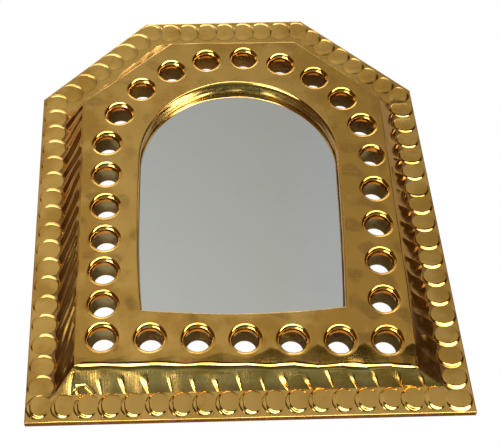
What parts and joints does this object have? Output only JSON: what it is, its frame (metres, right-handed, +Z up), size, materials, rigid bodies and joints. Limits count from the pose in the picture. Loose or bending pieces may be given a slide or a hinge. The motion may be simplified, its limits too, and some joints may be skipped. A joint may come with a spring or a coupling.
{
  "type": "framed wall mirror",
  "caption": "Arched wall mirror in a raised sheet-brass frame with rows of turned-in round holes, a border of struck overlapping bosses, and a hanging ring on its back.",
  "frame": {"origin": "on the rear face of the back plate, at the middle of the frame's width and height", "axes": "+X to the right as seen from the front, +Y into the wall, +Z up"},
  "size_m": [0.38, 0.0298, 0.4707],
  "materials": {
    "worked_brass": "hammered, brushed and lightly worn",
    "flat_brass": "plain rolled sheet, dulled",
    "lining_brass": "plain sheet strip, half bright",
    "hanger_brass": "dull drawn wire and strip",
    "mirror": "silvered plain glass",
    "card": "thick plain grey-brown packing card"
  },
  "bodies": {
    "frame": {"face_sheet": "worked_brass", "back_plate": "flat_brass", "arch_lining": "lining_brass", "sill_lining": "lining_brass", "mirror_glass": "mirror", "backing_card": "card", "glass_clip_1": "flat_brass", "glass_clip_2": "flat_brass", "glass_clip_3": "flat_brass", "glass_clip_4": "flat_brass", "glass_clip_5": "flat_brass", "glass_clip_6": "flat_brass", "hanger_strap": "hanger_brass", "hanger_rivet_1": "hanger_brass", "hanger_rivet_2": "hanger_brass"},
    "ring": {"hanger_ring": "hanger_brass"}
  },
  "joints": [
    {"name": "ring_swing", "type": "hinge", "parent": "frame", "child": "ring", "pos_m": [0, 0.0028, 0.203], "axis": [-1, 0, 0], "range_deg": [0, 175]}
  ]
}
